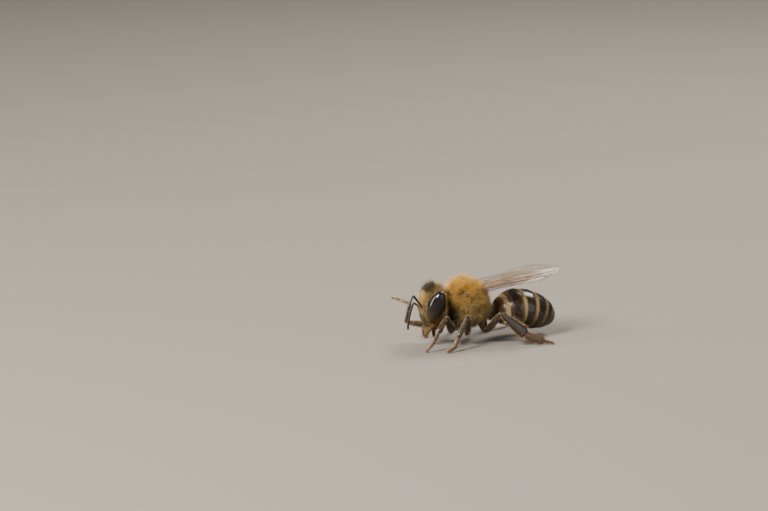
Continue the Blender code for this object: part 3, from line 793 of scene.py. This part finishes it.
LEG_SIZES = {  # hip, thigh, shin and first foot joint: (width, depth)
    "fore": ((0.7, 0.62), (0.54, 0.44), (0.52, 0.4), (0.3, 0.24)),
    "mid": ((0.7, 0.62), (0.54, 0.42), (0.48, 0.36), (0.4, 0.28)),
    "hind": ((0.76, 0.66), (0.62, 0.44), (1.0, 0.34), (0.8, 0.28)),
}
HIP = ((0, 0), (0.06, 0.6), (0.2, 0.95), (0.45, 1.0), (0.8, 0.72), (0.95, 0.5), (1, 0))
THIGH = ((0, 0), (0.04, 0.45), (0.12, 0.7), (0.35, 1.0), (0.6, 0.95), (0.88, 0.62), (0.97, 0.45), (1, 0))
SHIN = ((0, 0), (0.03, 0.45), (0.1, 0.7), (0.45, 0.9), (0.85, 1.0), (0.96, 0.75), (1, 0))
HIND_SHIN = ((0, 0), (0.03, 0.22), (0.08, 0.36), (0.3, 0.62), (0.65, 0.9), (0.92, 1.0), (0.975, 0.85), (1, 0))
INSTEP = ((0, 0), (0.04, 0.6), (0.12, 0.9), (0.5, 1.0), (0.9, 0.92), (0.97, 0.6), (1, 0))
HEART = ((0, 0), (0.05, 0.62), (0.3, 0.74), (0.75, 1.0), (0.95, 0.86), (1, 0))
LAST_JOINT = ((0, 0), (0.06, 0.36), (0.4, 0.5), (0.85, 0.75), (0.96, 0.5), (1, 0))
RING_REACH, RING_WIDTH = 0.22, 0.34
FOOT_STOPS = (0.0, 0.17, 0.33, 0.48, 0.8)  # where the small joints begin and end, as shares of the foot
FOOT_HEIGHT, FOOT_DEPTH = 0.13, 0.17
CLAW_REACH, CLAW_SPREAD, CLAW_WIDTH, CLAW_BOW, CLAW_HEIGHT, CLAW_DROP = 0.22, 0.13, 0.075, 0.055, 0.012, 0.1
PAD_RADII, PAD_REACH, PAD_HEIGHT, PAD_DROP = (0.085, 0.085, 0.05), 0.07, 0.055, 0.03
LEG_HAIR = ((520, 0.28), (520, 0.22), (620, 0.13), (820, 0.15), (90, 0.14), (90, 0.14), (90, 0.14), (120, 0.14))
HIND_INSTEP_HAIRS = 1400
leg_shell = shell_finish("leg_shell", (0.009, 0.006, 0.004), (0.034, 0.015, 0.007), 0.26)
foot_shell = shell_finish("foot_shell", (0.018, 0.009, 0.005), (0.06, 0.025, 0.01), 0.38)
claw_horn = shell_finish("claw_horn", (0.06, 0.026, 0.01), (0.12, 0.05, 0.02), 0.25)
leg_hair = hair_finish("leg_hair", (0.4, (0.36, 0.2, 0.08)), (1.6, (0.36, 0.27, 0.14)), (3.0, (0.38, 0.32, 0.19)))


def leg_pieces(name, joints):
    """One leg's pieces, and the surfaces that its coat grows on: hip, thigh, shin and the foot's five joints."""
    pair, side = name.split("_")
    hind = pair == "hind"
    outward = np.array((1 if side == "left" else -1, 0, 0.2))
    hip, ring, knee, ankle, heel, toe = np.array(joints)
    standing = toe[2] == 0.0
    tip = toe + (0, 0, FOOT_HEIGHT if standing else 0.0)
    made, surfaces = [], []
    for a, b, profile, (width, depth), arch, shell in zip(
            (hip, ring, knee, ankle), (ring, knee, ankle, heel), (HIP, THIGH, HIND_SHIN if hind else SHIN, INSTEP),
            LEG_SIZES[pair], (0.0, 0.05, -0.03, -0.02), (leg_shell, leg_shell, leg_shell, foot_shell)):
        reach = 0.05 * unit(b - a)
        surfaces.append(limb_surface(a - reach, b + reach, profile, width, depth, outward, arch))
        made.append(shaped("joint", surfaces[-1], 28, 28, shell))
    ring_ends = ring + RING_REACH * unit(hip - ring), ring + RING_REACH * unit(knee - ring)
    ring_surface = limb_surface(*ring_ends, ROUND_ENDS, RING_WIDTH, RING_WIDTH, outward)
    made.append(shaped("ring", ring_surface, 20, 12, leg_shell))
    walk = tip - heel
    for start, end, profile in zip(FOOT_STOPS, FOOT_STOPS[1:], (HEART, HEART, HEART, LAST_JOINT)):
        a, b = heel + walk * (start - 0.02), heel + walk * (end + 0.04)
        surfaces.append(limb_surface(a, b, profile, 0.32 if hind else 0.26, FOOT_DEPTH, outward))
        made.append(shaped("small_joint", surfaces[-1], 16, 12, foot_shell))
    own(join(f"leg_{name}", made), "leg", *(f"{bone}_{name}" for bone in ("coxa", "femur", "tibia", "basitarsus")))
    last = heel + walk * 0.79
    ahead = unit(np.array((walk[0], walk[1], 0.0 if standing else walk[2])))
    beside = unit(np.cross(ahead, (0, 0, 1)))
    hooks = []
    for way in (1, -1):
        point = last + CLAW_REACH * ahead + CLAW_SPREAD * way * beside
        point[2] = CLAW_HEIGHT if standing else point[2] - CLAW_DROP
        claw = limb_surface(last + 0.03 * way * beside, point, TAPER, CLAW_WIDTH, CLAW_WIDTH, (0, 0, 1), CLAW_BOW)
        hooks.append(shaped("claw", claw, 12, 18, claw_horn))
    pad = last + PAD_REACH * ahead
    pad[2] = PAD_HEIGHT if standing else pad[2] - PAD_DROP
    hooks.append(shaped("pad", lambda d: pad + d * PAD_RADII, 14, 10, claw_horn))
    own(join(f"claws_{name}", hooks), "leg", f"foot_{name}")
    return surfaces


def leg_coat(name, surfaces, seed):
    """Down and bristles that point to the foot: long on hip and thigh, and a long fringe on the hind shin."""
    hind = name.startswith("hind")
    found, lies, lengths, leans = [], [], [], []
    for k, (surface, (count, length)) in enumerate(zip(surfaces, LEG_HAIR)):
        count = HIND_INSTEP_HAIRS if hind and k == 3 else count
        fringed = hind and k == 2

        def density(points, d):
            t, angle = polar(d)
            even = (t > 0.04) * (t < 0.97)
            if fringed:
                return even * np.where(np.cos(angle) > 0, 0.03 + 3.0 * (np.abs(np.sin(angle)) > 0.93), 0.5)
            return even * (0.5 + 0.8 * (np.cos(angle) < 0.2))

        some = roots(surface, count, seed + k, density, 8)
        edge = np.abs(np.sin(polar(some["d"])[1])) > 0.85
        some["uv"] = (some["uv"] + (k, 0)) / (8, 1)  # each joint has its own strip of the map
        found.append(some)
        lies.append(np.broadcast_to(surface.along, some["at"].shape) + (0.6 * surface.thin if fringed else 0))
        lengths.append(np.where(edge, 0.42, 0.12) if fringed else np.full(len(edge), length))
        leans.append(np.where(edge, 30, 60) if fringed else np.full(len(edge), 40 if k < 2 else 50))
    leans = np.concatenate(leans)
    grow(f"leg_coat_{name}", gather(*found), np.vstack(lies), (leans, leans + 22), np.concatenate(lengths),
         0.017, leg_hair, steps=2)


for number, (name, joints) in enumerate(LEGS.items()):
    leg_coat(name, leg_pieces(name, joints), 100 + 10 * number)

# The wings are clear brownish skin, thin as film and slightly folded, stiffened by dark veins that stand proud of
# it. The hind wing lies under the fore wing. A small oval scale covers each fore wing's root.
WING_BASE = np.array((1.55, -0.6, 4.72))
WING_TURNS = {"left": (6.0, 8.0, 14.0), "right": (6.8, 4.0, -5.0)}  # sweep, pitch and roll in degrees
HIND_WING_BEHIND, HIND_WING_BELOW = 1.3, 0.3
FOLD_DEPTH, FOLD_WAVES, CAMBER, TIP_DROOP = 0.035, 19, 0.16, 0.2
WING_HALF_THICKNESS = 0.008
VEIN_SHARE, VEIN_TAPER = 0.7, 0.45
FOREWING_FRONT = ((0.0, 0.0), (-0.12, 2.0), (-0.2, 4.4), (-0.08, 6.6), (0.3, 8.1), (0.6, 8.62), (1.0, 8.88))
FOREWING_REAR = ((0.3, 0.0), (0.55, 0.8), (1.15, 1.9), (1.9, 3.2), (2.3, 4.1), (2.72, 5.0), (2.9, 6.2), (2.65, 7.5),
                 (1.9, 8.65), (1.0, 8.88))
HINDWING_FRONT = ((0.0, 0.0), (-0.04, 1.5), (0.0, 3.5), (0.2, 5.3), (0.45, 6.05), (0.65, 6.2))
HINDWING_REAR = ((0.3, 0.0), (0.9, 0.5), (1.45, 1.3), (1.8, 2.3), (1.9, 3.3), (1.8, 4.3), (1.35, 5.5), (0.65, 6.2))
FOREWING_VEINS = (  # thickness, then (in from the front edge, out from the root)
    (0.085, (0.02, 0.1), (-0.08, 2.0), (-0.16, 4.4), (-0.13, 5.4)),
    (0.095, (0.14, 0.1), (0.08, 2.0), (0.0, 4.0), (-0.06, 5.3)),
    (0.06, (-0.08, 5.2), (-0.05, 6.8), (0.16, 7.8)),
    (0.055, (0.06, 3.5), (0.3, 4.05), (0.33, 4.8), (0.3, 5.7), (0.36, 6.6), (0.3, 7.3), (0.16, 7.8)),
    (0.07, (0.22, 0.1), (0.44, 1.4), (0.68, 2.6), (0.78, 3.1), (0.55, 3.5), (0.3, 4.05)),
    (0.05, (0.55, 3.5), (0.68, 3.9), (0.88, 4.7), (0.96, 5.5), (1.04, 6.3), (1.16, 7.1), (1.32, 8.0)),
    (0.045, (0.33, 4.9), (0.88, 4.7)), (0.045, (0.3, 5.75), (0.99, 5.85)), (0.045, (0.36, 6.5), (1.1, 6.9)),
    (0.05, (0.78, 3.1), (1.05, 3.9), (1.45, 4.9), (1.75, 5.5), (1.98, 6.1), (2.2, 6.4), (2.48, 7.0)),
    (0.045, (0.93, 5.15), (1.25, 4.98), (1.5, 5.0)), (0.045, (1.07, 6.6), (1.55, 6.45), (1.98, 6.1)),
    (0.045, (0.8, 3.1), (1.22, 3.2)),
    (0.06, (0.28, 0.1), (0.62, 1.3), (1.0, 2.4), (1.22, 3.2), (1.6, 4.1), (2.0, 4.8)))
HINDWING_VEINS = (
    (0.07, (0.05, 0.1), (0.05, 1.6), (0.02, 3.0), (0.06, 3.9)),
    (0.05, (0.05, 2.4), (0.34, 3.2), (0.5, 4.2), (0.58, 5.3)),
    (0.055, (0.14, 0.1), (0.42, 1.4), (0.72, 2.4), (0.34, 3.2)), (0.045, (0.72, 2.4), (0.92, 3.4), (1.05, 4.4)),
    (0.05, (0.2, 0.1), (0.62, 1.1), (1.05, 2.2), (1.28, 3.1)))
membrane = new_finish("wing_membrane", (0.17, 0.105, 0.058), 0.18, Alpha=0.22, Specular_IOR_Level=0.6)
streaks = noise(membrane, 0.9, 4.0, 0.6)
feed(membrane, "Base Color", ramp(membrane, streaks, (0.3, (0.115, 0.066, 0.034)), (0.7, (0.22, 0.135, 0.075))))
feed(membrane, "Alpha", span(membrane, streaks, 0.3, 0.7, 0.27, 0.15))
bump(membrane, noise(membrane, 7.0, 3.0), 0.25, 0.012)
vein_shell = shell_finish("wing_vein", (0.018, 0.009, 0.005), (0.055, 0.025, 0.011), 0.4)


def through(points, steps=8):
    """A smooth open line through the points."""
    points = [np.array(point, dtype=float) for point in points]
    points = [2 * points[0] - points[1], *points, 2 * points[-1] - points[-2]]
    drawn = []
    for a, b, c, e in zip(points, points[1:], points[2:], points[3:]):
        for k in range(steps):
            t = k / steps
            drawn.append(0.5 * (2 * b + (c - a) * t + (2 * a - 5 * b + 4 * c - e) * t * t
                                + (3 * b - a - 3 * c + e) * t ** 3))
    return np.array(drawn + [points[-2]])


def wing(name, side, sign, front, rear, veins, behind, below, node):
    """One wing: its skin, laid between its front and rear edges, and its veins as tubes half sunk in the skin."""
    sweep, pitch, roll = (math.radians(angle) for angle in WING_TURNS[side])
    turn = np.array((Matrix.Rotation(-sweep * sign, 3, "Z") @ Matrix.Rotation(pitch, 3, "X")
                     @ Matrix.Rotation(roll * sign, 3, "Y")))
    edges = through(front), through(rear)
    reach = edges[0][-1, 1]

    def lay(inward, out, height):
        """Where a point of the flat wing comes to lie: inward from the front edge's line, out from the root."""
        first, second = (np.interp(out, edge[:, 1], edge[:, 0]) for edge in edges)
        share = np.clip((inward - first) / np.maximum(second - first, 0.05), 0, 1)
        fold = FOLD_DEPTH * np.sin(share * FOLD_WAVES) * smooth_step(out, 0.3, 2.0)
        fold = fold * (1 - 0.6 * smooth_step(out / reach, 0.7, 1.0))
        camber = CAMBER * (1 - (2 * share - 0.8) ** 2) * smooth_step(out, 0.0, 2.0)
        droop = -TIP_DROOP * smooth_step(out / reach, 0.55, 1.0) ** 2
        flat = columns(-inward * sign, out + behind, height - below + fold + camber + droop)
        return flat @ turn.T + WING_BASE * (sign, 1, 1)

    def surface(d):
        t, angle = polar(d)
        out = reach * (1 - np.cos(math.pi * t)) / 2
        first, second = (np.interp(out, edge[:, 1], edge[:, 0]) for edge in edges)
        share = (1 - np.cos(angle)) / 2
        return lay(first + (second - first) * share, out, WING_HALF_THICKNESS * np.sin(angle))

    own(shaped(f"{name}_{side}", surface, 96, 96, membrane), "wing", node)
    line = bpy.data.curves.new("veins", "CURVE")
    line.dimensions = "3D"
    line.bevel_depth = MM / 2
    line.bevel_resolution = 2
    line.use_fill_caps = True
    for thick, *points in veins:
        inward, outward = through(points).T
        spline = line.splines.new("POLY")
        spline.points.add(len(inward) - 1)
        for point, where, out in zip(spline.points, place(lay(inward, outward, 0.0)), outward):
            point.co = (*where, 1.0)
            point.radius = VEIN_SHARE * thick * (1 - VEIN_TAPER * out / reach)
    tubes = bpy.data.objects.new("veins", line)
    bpy.context.scene.collection.objects.link(tubes)
    select(tubes)
    bpy.ops.object.convert(target="MESH")
    tubes = bpy.context.object
    tubes.name = tubes.data.name = f"{name}_veins_{side}"
    bpy.ops.object.shade_smooth()
    tubes.data.materials.clear()
    tubes.data.materials.append(vein_shell)
    own(tubes, "wing")


for side, sign in SIDES:
    wing("fore_wing", side, sign, FOREWING_FRONT, FOREWING_REAR, FOREWING_VEINS, 0.0, 0.0, f"forewing_{side}")
    wing("hind_wing", side, sign, HINDWING_FRONT, HINDWING_REAR, HINDWING_VEINS, HIND_WING_BEHIND, HIND_WING_BELOW,
         f"hindwing_{side}")
SCALE, SCALE_RADII, SCALE_TURN = np.array((1.7, -0.86, 4.6)), (0.2, 0.31, 0.11), 48
scale_shell = shell_finish("scale_shell", (0.03, 0.014, 0.006), (0.075, 0.034, 0.012), 0.58, 12.0)
for side, sign in SIDES:
    centre = SCALE * (sign, 1, 1)
    turn = np.array(Euler((0, math.radians(SCALE_TURN * sign), 0)).to_matrix())
    scale = shaped(f"wing_root_scale_{side}", lambda d: (d * SCALE_RADII) @ turn.T + centre, 28, 20, scale_shell)
    own(scale, "shell", f"tegula_{side}")
